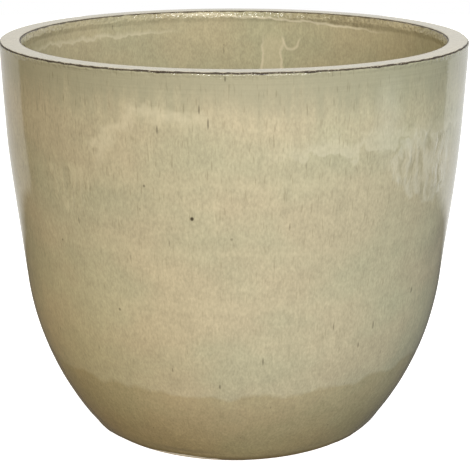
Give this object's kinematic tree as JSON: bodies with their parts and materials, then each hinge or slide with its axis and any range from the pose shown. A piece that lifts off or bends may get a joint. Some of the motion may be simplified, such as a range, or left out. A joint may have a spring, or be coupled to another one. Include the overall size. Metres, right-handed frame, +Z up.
{
  "type": "bonsai pot",
  "caption": "Deep round glazed stoneware pot with a flat lip, turned-in base, foot ring and a central drain hole under a wired mesh screen.",
  "frame": {"origin": "centre of the foot ring, on the ground", "axes": "+Z up along the axis of the pot; -Y is the side that faces the viewer; +X to the viewer's right, along the screen clip"},
  "size_m": [0.4, 0.4, 0.339],
  "materials": {
    "fired_stoneware": "dry, fine-grained fired clay, dark where it shows through the glaze",
    "celadon_cream_glaze": "glossy, streaked celadon-cream glaze",
    "black_plastic_mesh": "matt moulded mesh",
    "aluminium_wire": "soft drawn wire"
  },
  "bodies": {
    "root": {"clay_body": "fired_stoneware", "outer_glaze": "celadon_cream_glaze", "lip_glaze": "celadon_cream_glaze", "inner_glaze": "celadon_cream_glaze", "drain_screen": "black_plastic_mesh", "screen_clip": "aluminium_wire"}
  },
  "joints": []
}
